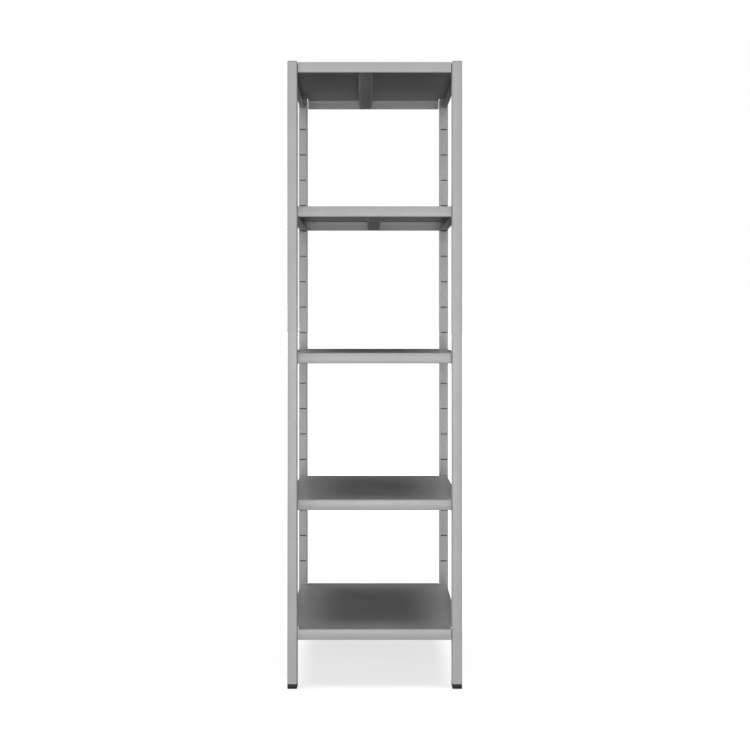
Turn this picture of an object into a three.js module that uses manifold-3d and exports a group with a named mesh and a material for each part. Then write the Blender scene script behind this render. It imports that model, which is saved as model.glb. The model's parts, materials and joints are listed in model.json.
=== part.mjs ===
// Boltless metal shelving unit: four slotted square uprights carry five pressed-steel shelves.
// Millimetres, +Z up, +X to the right, +Y to the back. Origin: centre of the footprint on the floor.
import * as THREE from 'three';
import { mergeVertices } from 'three/addons/utils/BufferGeometryUtils.js';
import Module from 'manifold-3d';

const wasm = await Module();
wasm.setup();

// Overall size
const overallWidth = 500;
const overallDepth = 400;
const overallHeight = 1796;

// Clearances shared by all pieces
const seatGap = 0.3;
const overrun = 4;

// Uprights: roll-formed square tube, slotted on the face that looks into the unit
const postSide = 28;
const postWall = 1.5;
const postCornerRadius = 3;
const slotEdgeMargin = 3.5;
const slotHeight = 3.2;
const slotPitch = 85;
const firstSlotHeight = 248;
const topSlotMargin = 15;

// Push-in feet and caps in the ends of the uprights
const footCollarHeight = 14;
const footEdgeRadius = 2;
const footSpigotLength = 26;
const capPlateHeight = 2.6;
const capEdgeRadius = 1;
const capSpigotLength = 6;
const spigotWall = 2.4;
const spigotCornerRadius = 1.4;

// Shelves: one sheet folded down and in on all four sides
// The bolted ones are notched round the uprights, and the clipped ones fit in between them
const shelfHeight = 31;
const shelfSheet = 1;
const shelfBendRadius = 3;
const boltedEndRecess = 8;
const shelfSideRecess = 3;
const shelfEndReturn = 6;
const boltedSideReturn = 16;
const clippedSideReturn = 26;
const endNotchClearance = 2;
const sideNotchClearance = 1;
const bottomShelfHeight = 136.5;
const topShelfStiffenerOffset = -26;

// Which slot, counted from the lowest, carries each movable shelf
const lowerShelfSlot = 3;
const middleShelfSlot = 8;
const upperShelfSlot = 13;

// Hat channel under each shelf, from front to back
const stiffenerSheet = 1;
const stiffenerBendRadius = 2.5;
const stiffenerWebWidth = 38;
const stiffenerMouthWidth = 43;
const stiffenerFlange = 11;

// Clips: a bent tongue that hooks into a slot and carries a shelf corner
const clipPlay = 1.7;
const clipSidePlay = 2;
const clipBendRadius = 2;
const clipHook = 9;
const clipLedge = 14;
const clipNose = 6;

// Angle brackets and bolts that fix the top and bottom shelves to the uprights
const bracketSheet = 1.5;
const bracketBendRadius = 2;
const bracketReach = 30;
const bracketRim = 0.5;
const boltDrop = 12;
const boltDiameter = 4;
const boltAcrossFlats = 7;
const boltHeadHeight = 2.8;
const boltLength = 10;

// Facets of round features
const bendSegments = 3;
const cornerSegments = 3;
const spigotSegments = 1;
const edgeSegments = 2;
const slotEndSegments = 3;
const boltSegments = 12;

// Places worked out from the sizes above
const halfWidth = overallWidth / 2;
const halfDepth = overallDepth / 2;
const postX = halfWidth - postSide / 2;
const postY = halfDepth - postSide / 2;
const slotWidth = postSide - 2 * slotEdgeMargin;
const clipThickness = slotHeight - clipPlay;
const clipWidth = slotWidth - clipSidePlay;
const boreSide = postSide - 2 * postWall;
const spigotSunk = capPlateHeight / 2;
const shelfHalfWidth = halfWidth - shelfSideRecess;
const boltedHalfDepth = halfDepth - boltedEndRecess;
const notchX = halfWidth - postSide - endNotchClearance;
const notchY = halfDepth - postSide - sideNotchClearance;
const shelfOuterBend = shelfBendRadius + shelfSheet / 2;
const sheetX = shelfHalfWidth - shelfOuterBend;
const topShelfHeight = overallHeight - shelfHeight;
const bracketHeight = shelfHeight - 2 * (shelfOuterBend + seatGap);
const bracketMiddle = shelfHeight / 2;
const bracketSide = -postSide / 2 + shelfSideRecess + shelfSheet + seatGap + bracketSheet / 2;
const boltX = bracketSide + bracketBendRadius + boltAcrossFlats / 2;
const boltLevel = shelfHeight - boltDrop;
const topSlotLimit = overallHeight - topSlotMargin;
const slotCount = Math.floor((topSlotLimit - firstSlotHeight) / slotPitch) + 1;

const slotLevel = (slot) => firstSlotHeight + slot * slotPitch;
const clipLevel = (slot) => slotLevel(slot) - slotHeight / 2 + seatGap + clipThickness / 2;
const shelfOnClips = (slot) => clipLevel(slot) + clipThickness / 2 + seatGap;

// Colours read from the photograph
const finish = (values) => new THREE.MeshStandardMaterial(values);
const paintedSteel = () => finish({ color: 0xb6b6b5, roughness: 0.42, metalness: 0.25 });
const greyPlastic = () => finish({ color: 0xa9a9a8, roughness: 0.55, metalness: 0 });
const blackPlastic = () => finish({ color: 0x232323, roughness: 0.6, metalness: 0 });
const zincSteel = () => finish({ color: 0x9da0a2, roughness: 0.35, metalness: 0.85 });

// Solids for cutting and joining
function toSolid(geometry) {
  geometry.deleteAttribute('normal');
  geometry.deleteAttribute('uv');
  const merged = mergeVertices(geometry);
  const vertProperties = new Float32Array(merged.attributes.position.array);
  const triVerts = new Uint32Array(merged.index.array);
  return new wasm.Manifold(new wasm.Mesh({ numProp: 3, vertProperties, triVerts }));
}

function toGeometry(solid) {
  const mesh = solid.getMesh();
  const geometry = new THREE.BufferGeometry();
  geometry.setAttribute('position', new THREE.BufferAttribute(new Float32Array(mesh.vertProperties), 3));
  geometry.setIndex(new THREE.BufferAttribute(new Uint32Array(mesh.triVerts), 1));
  geometry.computeVertexNormals();
  return geometry;
}

const at = (x, y) => new THREE.Vector2(x, y);

// A square outline with rounded corners, about the origin
function roundedSquare(side, radius) {
  const edge = side / 2;
  const centre = edge - radius;
  const outline = new THREE.Shape();
  outline.absarc(centre, centre, radius, 0, Math.PI / 2);
  outline.absarc(-centre, centre, radius, Math.PI / 2, Math.PI);
  outline.absarc(-centre, -centre, radius, Math.PI, 1.5 * Math.PI);
  outline.absarc(centre, -centre, radius, 1.5 * Math.PI, 2 * Math.PI);
  return outline;
}

// Section of a bent sheet: its middle line runs from end to end by way of bends of one radius
function bentSheet(bends, thickness, bendRadius) {
  const half = thickness / 2;
  const left = [];
  const right = [];
  const offset = (point, normal, distance) => point.clone().addScaledVector(normal, distance);
  const heading = (from, to) => to.clone().sub(from).normalize();
  bends.forEach((bend, index) => {
    const before = bends[index - 1];
    const after = bends[index + 1];
    const arriving = before ? heading(before, bend) : heading(bend, after);
    const leaving = after ? heading(bend, after) : arriving;
    const normal = at(-arriving.y, arriving.x);
    if (!before || !after) {
      left.push(offset(bend, normal, half));
      right.push(offset(bend, normal, -half));
      return;
    }
    const turn = Math.atan2(arriving.cross(leaving), arriving.dot(leaving));
    const side = Math.sign(turn);
    const start = offset(bend, arriving, -bendRadius * Math.tan(Math.abs(turn) / 2));
    const centre = offset(start, normal, side * bendRadius);
    const spoke = normal.clone().multiplyScalar(-side);
    for (let step = 0; step <= bendSegments; step += 1) {
      const turned = spoke.clone().rotateAround(at(0, 0), (turn * step) / bendSegments);
      left.push(offset(centre, turned, bendRadius - side * half));
      right.push(offset(centre, turned, bendRadius + side * half));
    }
  });
  return new THREE.Shape([...left, ...right.reverse()]);
}

function extrude(outline, depth, curveSegments) {
  return new THREE.ExtrudeGeometry(outline, { depth, bevelEnabled: false, curveSegments });
}

// A block on a rounded square with both rims rounded over, standing on z = 0
function roundedBlock(side, radius, height, edgeRadius) {
  const geometry = new THREE.ExtrudeGeometry(roundedSquare(side, radius), {
    depth: height - 2 * edgeRadius,
    bevelThickness: edgeRadius,
    bevelSize: edgeRadius,
    bevelOffset: -edgeRadius,
    bevelSegments: edgeSegments,
    curveSegments: cornerSegments,
  });
  geometry.translate(0, 0, edgeRadius);
  return geometry;
}

// Turns a section drawn as (inwards, up) so that it runs along X on the side that faces -Y
const alongFront = new THREE.Matrix4().makeBasis(
  new THREE.Vector3(0, 1, 0),
  new THREE.Vector3(0, 0, 1),
  new THREE.Vector3(1, 0, 0),
);

// Slot cutter: a flat-sided hole with round ends, through the wall that faces -Y
function slotCutter(level) {
  const radius = slotHeight / 2;
  const straight = slotWidth / 2 - radius;
  const outline = new THREE.Shape();
  outline.absarc(straight, 0, radius, -Math.PI / 2, Math.PI / 2);
  outline.absarc(-straight, 0, radius, Math.PI / 2, 1.5 * Math.PI);
  const geometry = extrude(outline, postWall + 2 * overrun, slotEndSegments);
  geometry.rotateX(Math.PI / 2);
  geometry.translate(0, -postSide / 2 + postWall + overrun, level);
  return toSolid(geometry);
}

// Bolt-hole cutter along Y at a level
function boltHoleCutter(x, y, z, depth) {
  const radius = boltDiameter / 2 + seatGap;
  const geometry = new THREE.CylinderGeometry(radius, radius, depth + 2 * overrun, boltSegments);
  geometry.translate(x, y, z);
  return toSolid(geometry);
}

// Upright with its slots and bolt holes in the face that looks to -Y
// The shelves' side fold is on the -X side of its middle for hand 1, and on the +X side for hand -1
function postGeometry(hand) {
  const foot = footCollarHeight + seatGap;
  const head = overallHeight - capPlateHeight - seatGap;
  const outline = roundedSquare(postSide, postCornerRadius);
  outline.holes.push(roundedSquare(boreSide, postCornerRadius - postWall));
  const tube = extrude(outline, head - foot, cornerSegments);
  tube.translate(0, 0, foot);
  let solid = toSolid(tube);
  for (let slot = 0; slot < slotCount; slot += 1) {
    solid = solid.subtract(slotCutter(slotLevel(slot)));
  }
  const wallMiddle = -postSide / 2 + postWall / 2;
  for (const shelfLevel of [bottomShelfHeight, topShelfHeight]) {
    solid = solid.subtract(boltHoleCutter(hand * boltX, wallMiddle, shelfLevel + boltLevel, postWall));
  }
  return toGeometry(solid);
}

// Hollow plug that fills the bore of an upright, open at the end away from its plate
function spigotGeometry(length) {
  const side = boreSide - 2 * seatGap;
  const outline = roundedSquare(side, spigotCornerRadius);
  outline.holes.push(roundedSquare(side - 2 * spigotWall, spigotCornerRadius));
  return extrude(outline, length + spigotSunk, spigotSegments);
}

function footGeometry() {
  const collar = roundedBlock(postSide, postCornerRadius, footCollarHeight, footEdgeRadius);
  const spigot = spigotGeometry(footSpigotLength);
  spigot.translate(0, 0, footCollarHeight - spigotSunk);
  return toGeometry(toSolid(collar).add(toSolid(spigot)));
}

// Cap with its plate on z = 0 and its spigot hanging below
function capGeometry() {
  const plate = roundedBlock(postSide, postCornerRadius, capPlateHeight, capEdgeRadius);
  const spigot = spigotGeometry(capSpigotLength);
  spigot.translate(0, 0, -capSpigotLength);
  return toGeometry(toSolid(plate).add(toSolid(spigot)));
}

// One folded edge of a shelf: down from the top sheet, round, and back in along the bottom
// It is drawn on the front, as far to the left as to the right, and turned to its side
function foldedEdge(reach, distance, returnWidth, angle) {
  const half = shelfSheet / 2;
  const section = bentSheet(
    [
      at(shelfOuterBend + shelfSheet, shelfHeight - half),
      at(half, shelfHeight - half),
      at(half, half),
      at(returnWidth, half),
    ],
    shelfSheet,
    shelfBendRadius,
  );
  const geometry = extrude(section, 2 * reach, bendSegments);
  geometry.applyMatrix4(alongFront);
  geometry.translate(-reach, -distance, 0);
  geometry.rotateZ(angle);
  return toSolid(geometry);
}

// The two kinds of shelf: where the end folds lie, how far the end and side folds reach from the middle,
// the corner of the flat sheet, and the width of the side folds' return
const boltedKind = {
  halfDepth: boltedHalfDepth,
  endReach: notchX,
  sideReach: notchY,
  corner: [at(sheetX, notchY), at(notchX, notchY), at(notchX, boltedHalfDepth - shelfOuterBend)],
  sideReturn: boltedSideReturn,
};
const clippedKind = {
  halfDepth: notchY,
  endReach: sheetX,
  sideReach: notchY - shelfOuterBend,
  corner: [at(sheetX, notchY - shelfOuterBend)],
  sideReturn: clippedSideReturn,
};

// Shelf pan, with the underside of its folded edges on z = 0
function shelfGeometry(kind) {
  const frontCorner = kind.corner.map((point) => at(point.x, -point.y)).reverse();
  const rightHalf = [...frontCorner, ...kind.corner];
  const leftHalf = rightHalf.map((point) => at(-point.x, point.y)).reverse();
  const deck = extrude(new THREE.Shape([...rightHalf, ...leftHalf]), shelfSheet, bendSegments);
  deck.translate(0, 0, shelfHeight - shelfSheet);
  let solid = toSolid(deck);
  for (const side of [0, 1]) {
    const end = foldedEdge(kind.endReach, kind.halfDepth, shelfEndReturn, side * Math.PI);
    const flank = foldedEdge(kind.sideReach, shelfHalfWidth, kind.sideReturn, (side + 0.5) * Math.PI);
    solid = solid.add(end).add(flank);
  }
  return toGeometry(solid);
}

// Hat channel from the front fold to the rear fold, between the top sheet and the returns
function stiffenerGeometry(kind) {
  const half = stiffenerSheet / 2;
  const bottom = shelfSheet + seatGap + half;
  const top = shelfHeight - shelfSheet - seatGap - half;
  const web = stiffenerWebWidth / 2 - half;
  const mouth = stiffenerMouthWidth / 2 - half;
  const section = bentSheet(
    [
      at(-mouth - stiffenerFlange, top),
      at(-mouth, top),
      at(-web, bottom),
      at(web, bottom),
      at(mouth, top),
      at(mouth + stiffenerFlange, top),
    ],
    stiffenerSheet,
    stiffenerBendRadius,
  );
  const end = kind.halfDepth - shelfOuterBend - seatGap;
  const geometry = extrude(section, 2 * end, bendSegments);
  geometry.rotateX(Math.PI / 2);
  geometry.translate(0, end, 0);
  return geometry;
}

// Clip for a slot that faces -Y: hook behind the wall, tongue through the slot, ledge, turned-down nose
// The wall's outer face is on y = 0 and the tongue's middle on z = 0
function clipGeometry() {
  const half = clipThickness / 2;
  const hook = -postWall - seatGap - half;
  const section = bentSheet(
    [
      at(hook, clipHook),
      at(hook, 0),
      at(clipLedge - half, 0),
      at(clipLedge - half, -clipNose),
    ],
    clipThickness,
    clipBendRadius,
  );
  const geometry = extrude(section, clipWidth, bendSegments);
  geometry.applyMatrix4(alongFront);
  geometry.translate(-clipWidth / 2, 0, 0);
  geometry.rotateZ(Math.PI);
  return geometry;
}

// Angle bracket: one leg against the upright's face, on y = 0, and one along the shelf's side fold
// Its middle is on z = 0, and its hands are those of the uprights
function bracketGeometry(hand) {
  const postLeg = -seatGap - bracketSheet / 2;
  const section = bentSheet(
    [
      at(hand * (boltX + boltAcrossFlats / 2 + bracketRim), postLeg),
      at(hand * bracketSide, postLeg),
      at(hand * bracketSide, -bracketReach),
    ],
    bracketSheet,
    bracketBendRadius,
  );
  const plate = extrude(section, bracketHeight, bendSegments);
  plate.translate(0, 0, -bracketHeight / 2);
  const hole = boltHoleCutter(hand * boltX, postLeg, boltLevel - bracketMiddle, bracketSheet);
  return toGeometry(toSolid(plate).subtract(hole));
}

// Hexagon bolt along Y, head towards -Y, with the underside of its head on y = 0
function boltGeometry() {
  const headRadius = boltAcrossFlats / Math.sqrt(3);
  const head = new THREE.CylinderGeometry(headRadius, headRadius, boltHeadHeight, 6);
  head.translate(0, -boltHeadHeight / 2, 0);
  const shankRadius = boltDiameter / 2;
  const sunk = boltHeadHeight / 2;
  const shank = new THREE.CylinderGeometry(shankRadius, shankRadius, boltLength + sunk, boltSegments);
  shank.translate(0, (boltLength - sunk) / 2, 0);
  return toGeometry(toSolid(head).add(toSolid(shank)));
}

const group = new THREE.Group();

function addMesh(parent, name, geometry, material, x, y, z) {
  const mesh = new THREE.Mesh(geometry, material);
  mesh.name = name;
  mesh.position.set(x, y, z);
  parent.add(mesh);
  return mesh;
}

// The four corners. Each has a group whose -Y side looks into the unit
const corners = [
  { name: 'front_left', x: -1, y: -1 },
  { name: 'front_right', x: 1, y: -1 },
  { name: 'rear_left', x: -1, y: 1 },
  { name: 'rear_right', x: 1, y: 1 },
];

const posts = { [-1]: postGeometry(-1), 1: postGeometry(1) };
const foot = footGeometry();
const cap = capGeometry();
const clip = clipGeometry();
const bolt = boltGeometry();
const brackets = { [-1]: bracketGeometry(-1), 1: bracketGeometry(1) };

const clippedShelves = [
  { name: 'lower', slot: lowerShelfSlot },
  { name: 'middle', slot: middleShelfSlot },
  { name: 'upper', slot: upperShelfSlot },
].map(({ name, slot }) => ({ name, slot, level: shelfOnClips(slot), offset: 0 }));
const boltedShelves = [
  { name: 'bottom', level: bottomShelfHeight, offset: 0 },
  { name: 'top', level: topShelfHeight, offset: topShelfStiffenerOffset },
];

for (const { name, x, y } of corners) {
  const place = new THREE.Group();
  place.position.set(x * postX, y * postY, 0);
  place.rotation.z = y < 0 ? Math.PI : 0;
  group.add(place);
  const hand = -x * y;
  addMesh(place, `post_${name}`, posts[hand], paintedSteel(), 0, 0, 0);
  addMesh(place, `foot_${name}`, foot, blackPlastic(), 0, 0, 0);
  addMesh(place, `cap_${name}`, cap, greyPlastic(), 0, 0, overallHeight - capPlateHeight);
  const innerFace = -postSide / 2;
  for (const shelf of clippedShelves) {
    addMesh(place, `clip_${shelf.name}_${name}`, clip, zincSteel(), 0, innerFace, clipLevel(shelf.slot));
  }
  const boltSeat = innerFace - 2 * seatGap - bracketSheet;
  for (const { name: shelf, level } of boltedShelves) {
    const bracket = `bracket_${shelf}_${name}`;
    addMesh(place, bracket, brackets[hand], paintedSteel(), 0, innerFace, level + bracketMiddle);
    addMesh(place, `bolt_${shelf}_${name}`, bolt, zincSteel(), hand * boltX, boltSeat, level + boltLevel);
  }
}

function addShelves(shelves, kind) {
  const shelfPan = shelfGeometry(kind);
  const stiffener = stiffenerGeometry(kind);
  for (const { name, level, offset } of shelves) {
    const place = new THREE.Group();
    place.position.z = level;
    group.add(place);
    addMesh(place, `shelf_${name}`, shelfPan, paintedSteel(), 0, 0, 0);
    addMesh(place, `stiffener_${name}`, stiffener, paintedSteel(), offset, 0, 0);
  }
}

addShelves(boltedShelves, boltedKind);
addShelves(clippedShelves, clippedKind);

export default group;
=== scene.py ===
import json
import math

import bpy
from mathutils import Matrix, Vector


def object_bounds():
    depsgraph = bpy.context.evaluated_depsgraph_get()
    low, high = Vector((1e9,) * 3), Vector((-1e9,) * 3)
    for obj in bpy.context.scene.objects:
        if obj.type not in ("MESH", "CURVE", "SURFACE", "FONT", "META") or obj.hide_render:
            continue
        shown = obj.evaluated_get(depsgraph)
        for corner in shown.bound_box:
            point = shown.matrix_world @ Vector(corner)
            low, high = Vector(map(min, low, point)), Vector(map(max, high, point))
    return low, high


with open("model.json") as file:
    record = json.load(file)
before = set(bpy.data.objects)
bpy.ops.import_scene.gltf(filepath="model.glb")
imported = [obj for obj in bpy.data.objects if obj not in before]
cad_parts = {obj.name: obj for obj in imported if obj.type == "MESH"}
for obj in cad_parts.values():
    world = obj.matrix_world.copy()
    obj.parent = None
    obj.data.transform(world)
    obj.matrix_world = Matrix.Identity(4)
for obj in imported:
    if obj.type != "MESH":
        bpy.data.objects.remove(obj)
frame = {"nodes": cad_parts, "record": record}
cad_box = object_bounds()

MM = 0.001


def add_object(name, data):
    thing = bpy.data.objects.new(name, data)
    bpy.context.scene.collection.objects.link(thing)
    return thing


# Camera: level, with a rising shift, as in the photograph
IMAGE_PX = 750
FOCAL_PX = 754.25
VANISHING_PX = (366.0, 320.0)
SENSOR_MM = 36
CAMERA_X_M = -0.0249
CAMERA_HEIGHT_M = 1.0549
CAMERA_DISTANCE_M = 2.155
CAMERA_SEES_TO_M = 100
CAMERA_TILT_DEG = 90
FRONT_FACE_M = cad_box[0].y

camera_data = bpy.data.cameras.new("camera")
camera_data.sensor_width = SENSOR_MM
camera_data.lens = FOCAL_PX / IMAGE_PX * SENSOR_MM
camera_data.shift_x = (IMAGE_PX / 2 - VANISHING_PX[0]) / IMAGE_PX
camera_data.shift_y = (VANISHING_PX[1] - IMAGE_PX / 2) / IMAGE_PX
camera_data.clip_end = CAMERA_SEES_TO_M
camera = add_object("camera", camera_data)
camera.location = (CAMERA_X_M, FRONT_FACE_M - CAMERA_DISTANCE_M, CAMERA_HEIGHT_M)
camera.rotation_euler = (math.radians(CAMERA_TILT_DEG), 0, 0)
bpy.context.scene.camera = camera


def rgb(red, green, blue):
    return (red, green, blue, 1)


def grey(level):
    return rgb(level, level, level)


WHITE = grey(1)


class Nodes:
    """A short way to build a node tree."""

    # The Mix node's two inputs and its output, for each kind of data
    MIX_SOCKETS = {"FLOAT": (2, 3, 0), "RGBA": (6, 7, 2)}
    NOISE_MIDDLE = 0.5

    def __init__(self, tree):
        self.tree = tree
        tree.nodes.clear()

    def add(self, kind, inputs=(), **settings):
        node = self.tree.nodes.new(kind)
        for key, value in settings.items():
            setattr(node, key, value)
        for key, value in dict(inputs).items():
            if isinstance(value, bpy.types.NodeSocket):
                self.tree.links.new(value, node.inputs[key])
            else:
                node.inputs[key].default_value = value
        return node

    def calculate(self, operation, first, second):
        node = self.add("ShaderNodeMath", {0: first, 1: second}, operation=operation)
        return node.outputs[0]

    def mix(self, kind, factor, base, top):
        first, second, result = self.MIX_SOCKETS[kind]
        inputs = {0: factor, first: base, second: top}
        return self.add("ShaderNodeMix", inputs, data_type=kind).outputs[result]

    def noise(self, vector, per_m, detail=3.0, roughness=0.55):
        inputs = {"Vector": vector, "Scale": per_m, "Detail": detail, "Roughness": roughness}
        return self.add("ShaderNodeTexNoise", inputs).outputs["Fac"]

    def span(self, value, low, high, to_low=0.0, to_high=1.0):
        """The value's range from low to high, moved to a new range and clamped to it."""
        inputs = {
            "Value": value, "From Min": low, "From Max": high,
            "To Min": to_low, "To Max": to_high,
        }
        return self.add("ShaderNodeMapRange", inputs).outputs["Result"]

    def stretch(self, noise, spread, to_low=0.0, to_high=1.0):
        """Noise within spread of its middle, stretched over the new range."""
        low, high = self.NOISE_MIDDLE - spread, self.NOISE_MIDDLE + spread
        return self.span(noise, low, high, to_low, to_high)

    def shade(self, value, dark, light):
        node = self.add("ShaderNodeValToRGB", {"Fac": value})
        node.color_ramp.elements[0].color = dark
        node.color_ramp.elements[1].color = light
        return node.outputs["Color"]

    def bump(self, height, depth_mm, strength, normal):
        inputs = {
            "Height": height, "Distance": depth_mm * MM,
            "Strength": strength, "Normal": normal,
        }
        return self.add("ShaderNodeBump", inputs).outputs["Normal"]


def new_material(name):
    material = bpy.data.materials.new(name)
    material.use_nodes = True
    nodes = Nodes(material.node_tree)
    place = nodes.add("ShaderNodeTexCoord").outputs["Object"]
    return material, nodes, place


def finish_material(nodes, **inputs):
    """Surface shader whose inputs are named with an underscore for each space."""
    sockets = {key.replace("_", " "): value for key, value in inputs.items()}
    shader = nodes.add("ShaderNodeBsdfPrincipled", sockets)
    nodes.add("ShaderNodeOutputMaterial", {"Surface": shader.outputs["BSDF"]})


BEVEL_SAMPLES = 6
# Product of the eased and the flat normal where the edge mask is 0 and where it is 1
EDGE_NONE = 0.99
EDGE_FULL = 0.80


def eased_edges(nodes, radius_mm):
    """Normal with the crisp edges rounded a little, and a mask that rises to 1 along them."""
    bevel = nodes.add("ShaderNodeBevel", {"Radius": radius_mm * MM}, samples=BEVEL_SAMPLES)
    eased = bevel.outputs["Normal"]
    flat = nodes.add("ShaderNodeNewGeometry").outputs["Normal"]
    turn = nodes.add("ShaderNodeVectorMath", {0: eased, 1: flat}, operation="DOT_PRODUCT")
    return eased, nodes.span(turn.outputs["Value"], EDGE_NONE, EDGE_FULL)


def worn(nodes, edge, place, per_m, most):
    """The edge mask broken up by noise, so that the wear comes and goes along an edge."""
    patches = nodes.noise(place, per_m, detail=4.0)
    share = nodes.stretch(patches, spread=0.12, to_low=0.15, to_high=most)
    return nodes.calculate("MULTIPLY", edge, share)


def painted_steel():
    """Light grey powder coat: orange peel, faint clouds, uneven gloss, thin on cut edges."""
    material, nodes, place = new_material("painted_steel")
    normal, edge = eased_edges(nodes, radius_mm=0.6)
    thin = worn(nodes, edge, place, per_m=70.0, most=0.9)

    clouds = nodes.noise(place, per_m=9.0, detail=4.0)
    mottle = nodes.noise(place, per_m=260.0, detail=2.0)
    blend = nodes.mix("FLOAT", factor=0.35, base=clouds, top=mottle)
    blend = nodes.stretch(blend, spread=0.15)
    coat = nodes.shade(blend, dark=grey(0.448), light=grey(0.488))
    specks = nodes.noise(place, per_m=2300.0, detail=1.0)
    speck = nodes.span(specks, low=0.69, high=0.77, to_high=0.45)
    coat = nodes.mix("RGBA", speck, coat, top=grey(0.36))
    colour = nodes.mix("RGBA", thin, coat, top=grey(0.33))

    prints = nodes.noise(place, per_m=5.0, detail=5.0, roughness=0.65)
    handled = nodes.stretch(prints, spread=0.15, to_low=-0.03, to_high=0.04)
    sheen = nodes.noise(place, per_m=34.0)
    rough = nodes.stretch(sheen, spread=0.2, to_low=0.34, to_high=0.40)
    rough = nodes.calculate("ADD", rough, handled)
    rough = nodes.mix("FLOAT", thin, rough, top=0.28)

    peel = nodes.noise(place, per_m=620.0, detail=2.0)
    peel = nodes.bump(peel, depth_mm=0.02, strength=0.45, normal=normal)
    finish_material(nodes, Base_Color=colour, Roughness=rough, Normal=peel)
    return material


def zinc_steel():
    """Zinc plating: cool grey metal with cloudy crystals, fine drawing marks, rubbed edges."""
    material, nodes, place = new_material("zinc_steel")
    normal, edge = eased_edges(nodes, radius_mm=0.3)
    rubbed = worn(nodes, edge, place, per_m=240.0, most=1.0)

    cells = nodes.add("ShaderNodeTexVoronoi", {"Vector": place, "Scale": 420.0})
    clouds = nodes.noise(place, per_m=180.0, detail=4.0)
    crystals = nodes.mix("FLOAT", factor=0.4, base=clouds, top=cells.outputs["Color"])
    crystals = nodes.stretch(crystals, spread=0.2)
    colour = nodes.shade(crystals, dark=rgb(0.30, 0.31, 0.32), light=rgb(0.42, 0.43, 0.44))
    colour = nodes.mix("RGBA", rubbed, colour, top=rgb(0.55, 0.56, 0.57))

    sheen = nodes.noise(place, per_m=420.0, detail=2.0)
    rough = nodes.stretch(sheen, spread=0.2, to_low=0.30, to_high=0.46)
    rough = nodes.mix("FLOAT", rubbed, rough, top=0.22)

    # Noise packed closer along the height, so that the drawing marks run level
    drawn = nodes.add("ShaderNodeMapping", {"Vector": place, "Scale": (1.0, 1.0, 12.0)})
    marks = nodes.noise(drawn.outputs["Vector"], per_m=520.0, detail=2.0)
    marks = nodes.bump(marks, depth_mm=0.02, strength=0.5, normal=normal)
    finish_material(nodes, Base_Color=colour, Roughness=rough, Normal=marks, Metallic=1.0)
    return material


def plastic(name, dark, light, scuff, roughness):
    """Moulded plastic with a fine spark-eroded grain and scuffed edges."""
    material, nodes, place = new_material(name)
    normal, edge = eased_edges(nodes, radius_mm=0.4)
    scuffed = worn(nodes, edge, place, per_m=160.0, most=0.8)

    clouds = nodes.stretch(nodes.noise(place, per_m=60.0, detail=4.0), spread=0.2)
    colour = nodes.shade(clouds, grey(dark), grey(light))
    colour = nodes.mix("RGBA", scuffed, colour, grey(scuff))

    sheen = nodes.noise(place, per_m=300.0)
    smooth, dull = roughness - 0.06, roughness + 0.08
    rough = nodes.stretch(sheen, spread=0.2, to_low=smooth, to_high=dull)

    grain = nodes.noise(place, per_m=1800.0, detail=2.0)
    grain = nodes.bump(grain, depth_mm=0.04, strength=0.6, normal=normal)
    finish_material(nodes, Base_Color=colour, Roughness=rough, Normal=grain)
    return material


MATERIALS = {
    "painted_steel": painted_steel(),
    "zinc_steel": zinc_steel(),
    "black_plastic": plastic(
        "black_plastic", dark=0.010, light=0.016, scuff=0.03, roughness=0.6
    ),
    "grey_plastic": plastic(
        "grey_plastic", dark=0.40, light=0.44, scuff=0.50, roughness=0.5
    ),
}

WELD_MM = 0.01
CRISP_FROM_DEG = 48


def smooth_bends():
    """Modifier tree: welds facets and smooths bends, but keeps folded and cut edges crisp."""
    tree = bpy.data.node_groups.new("smooth_bends", "GeometryNodeTree")
    for way in ("INPUT", "OUTPUT"):
        tree.interface.new_socket("Geometry", in_out=way, socket_type="NodeSocketGeometry")
    nodes = Nodes(tree)
    source = nodes.add("NodeGroupInput").outputs[0]
    weld = nodes.add(
        "GeometryNodeMergeByDistance", {"Geometry": source, "Distance": WELD_MM * MM}
    )
    angle = nodes.add("GeometryNodeInputMeshEdgeAngle").outputs["Unsigned Angle"]
    sharp = nodes.add(
        "FunctionNodeCompare", {0: angle, 1: math.radians(CRISP_FROM_DEG)}, data_type="FLOAT"
    )
    smooth = nodes.add(
        "GeometryNodeSetShadeSmooth", {"Geometry": weld.outputs[0]}, domain="FACE"
    )
    crisp = nodes.add(
        "GeometryNodeSetShadeSmooth",
        {"Geometry": smooth.outputs[0], "Selection": sharp.outputs[0], "Shade Smooth": False},
        domain="EDGE",
    )
    nodes.add("NodeGroupOutput", {0: crisp.outputs[0]})
    return tree


bends = smooth_bends()
slots = {row["node"]: row["material_slot"] for row in frame["record"]["subparts"]}
for name, node in frame["nodes"].items():
    node.data.materials.clear()
    node.data.materials.append(MATERIALS[slots[name]])
    modifier = node.modifiers.new("smooth_bends", "NODES")
    modifier.node_group = bends


# The floor is as bright as the white backdrop further off, so no horizon shows.
# It throws no light up under the shelves and stops none that comes from below
FLOOR_HALF_M = 60
FLOOR_DROP_MM = 0.2
FLOOR_GLOW_NEAR = 0.66
FLOOR_GLOW_FAR = 1.1
FLOOR_NEAR_M = 0.5
FLOOR_FAR_M = 3.0
FLOOR_CLOUDS_PER_M = 2.0
FLOOR_DARK = grey(0.88)
FLOOR_LIGHT = grey(0.92)
FLOOR_ROUGHNESS = 0.8


def mesh_plane(name, half_m):
    mesh = bpy.data.meshes.new(name)
    signs = ((-1, -1), (1, -1), (1, 1), (-1, 1))
    corners = [(x * half_m, y * half_m, 0) for x, y in signs]
    mesh.from_pydata(corners, [], [(0, 1, 2, 3)])
    return add_object(name, mesh)


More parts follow.
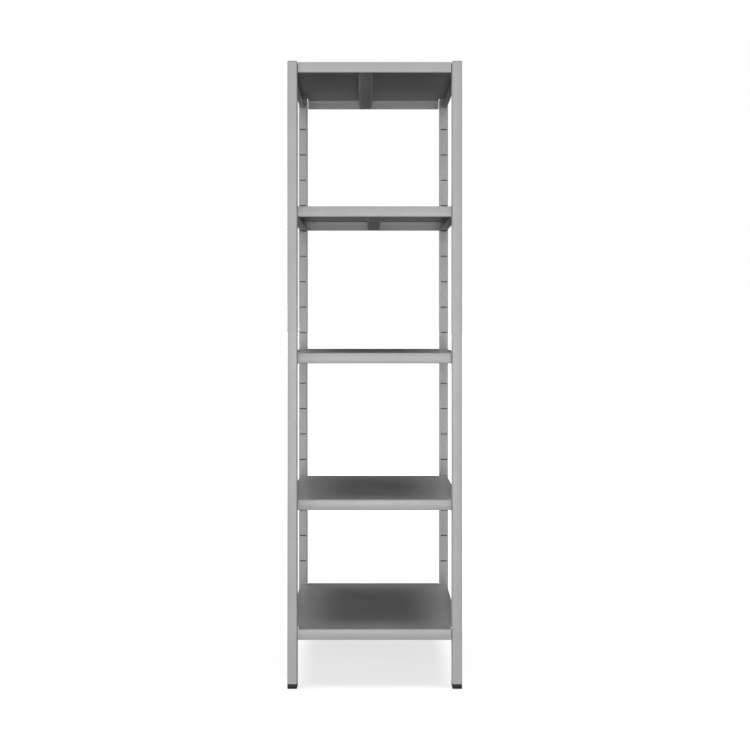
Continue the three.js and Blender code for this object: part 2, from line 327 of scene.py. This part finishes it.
def floor_paint():
    material, nodes, place = new_material("floor")
    seen = nodes.add("ShaderNodeLightPath").outputs["Is Camera Ray"]
    away = nodes.add("ShaderNodeVectorMath", {0: place}, operation="LENGTH").outputs["Value"]
    white = nodes.span(away, FLOOR_NEAR_M, FLOOR_FAR_M, FLOOR_GLOW_NEAR, FLOOR_GLOW_FAR)
    glow = nodes.calculate("MULTIPLY", seen, white)
    colour = nodes.shade(nodes.noise(place, FLOOR_CLOUDS_PER_M), FLOOR_DARK, FLOOR_LIGHT)
    finish_material(
        nodes,
        Base_Color=colour,
        Roughness=FLOOR_ROUGHNESS,
        Emission_Color=WHITE,
        Emission_Strength=glow,
    )
    return material


floor = mesh_plane("floor", FLOOR_HALF_M)
floor.location.z = -FLOOR_DROP_MM * MM
floor.visible_diffuse = False
floor.visible_glossy = False
floor.visible_shadow = False
floor.data.materials.append(floor_paint())

# Soft panels: place, target and size in metres, and power in watts
LIGHT_TARGET = (0, 0, 1.0)
PANELS = {
    "key": ((0, -9.0, 2.0), (0, 0, 1.6), (3.0, 3.0), 105),
    "front_high": ((0, -6.0, 4.1), LIGHT_TARGET, (3.0, 2.0), 40),
    "overhead": ((0, 0, 4.2), LIGHT_TARGET, (3.0, 3.0), 16),
}
# Distant soft lights: azimuth in degrees, 0 from the front and 90 from the right, elevation
# in degrees, and strength. Level light from round about shows the uprights' sides and leaves
# the decks dark, and more of it comes from the left
LEVEL_ANGLE_DEG = 12
LEVEL_SUNS = {
    "front_low": (0, -8, 0.68),
    "front_left": (-30, 0, 0.34),
    "front_right": (30, 0, 0.30),
    "side_front_left": (-60, 0, 0.57),
    "side_front_right": (60, 0, 0.21),
    "back_left": (-120, 0, 1.25),
    "back_right": (145, 0, 0.30),
}
# Steep light from both sides falls on the ends of the decks
STEEP_ANGLE_DEG = 20
STEEP_SUNS = {
    "high_left": (-90, 75, 0.53),
    "high_right": (90, 75, 0.57),
}


def add_light(name, kind, strength, shines):
    """A light that shines along the given vector."""
    data = bpy.data.lights.new(name, kind)
    data.energy = strength
    light = add_object(name, data)
    light.rotation_euler = shines.to_track_quat("-Z", "Y").to_euler()
    return light


def add_panel(name, location, target, size_m, watts):
    light = add_light(name, "AREA", watts, Vector(target) - Vector(location))
    light.location = location
    light.data.shape = "RECTANGLE"
    light.data.size, light.data.size_y = size_m


def add_sun(name, azimuth_deg, elevation_deg, strength, angle_deg):
    azimuth, elevation = math.radians(azimuth_deg), math.radians(elevation_deg)
    level = math.cos(elevation)
    shines = (-math.sin(azimuth) * level, math.cos(azimuth) * level, -math.sin(elevation))
    light = add_light(name, "SUN", strength, Vector(shines))
    light.data.angle = math.radians(angle_deg)


for name, panel in PANELS.items():
    add_panel(name, *panel)
for suns, angle_deg in ((LEVEL_SUNS, LEVEL_ANGLE_DEG), (STEEP_SUNS, STEEP_ANGLE_DEG)):
    for name, sun in suns.items():
        add_sun(name, *sun, angle_deg)

# The backdrop is white to the camera, and as a light it is dim
AMBIENT_STRENGTH = 0.073
BACKDROP_STRENGTH = 1.0
world = bpy.data.worlds.new("studio")
bpy.context.scene.world = world
world.use_nodes = True
world_nodes = Nodes(world.node_tree)
seen = world_nodes.add("ShaderNodeLightPath").outputs["Is Camera Ray"]
strength = world_nodes.span(
    seen, low=0.0, high=1.0, to_low=AMBIENT_STRENGTH, to_high=BACKDROP_STRENGTH
)
sky = world_nodes.add("ShaderNodeBackground", {"Color": WHITE, "Strength": strength})
world_nodes.add("ShaderNodeOutputWorld", {"Surface": sky.outputs[0]})
bpy.context.scene.view_settings.view_transform = "Standard"
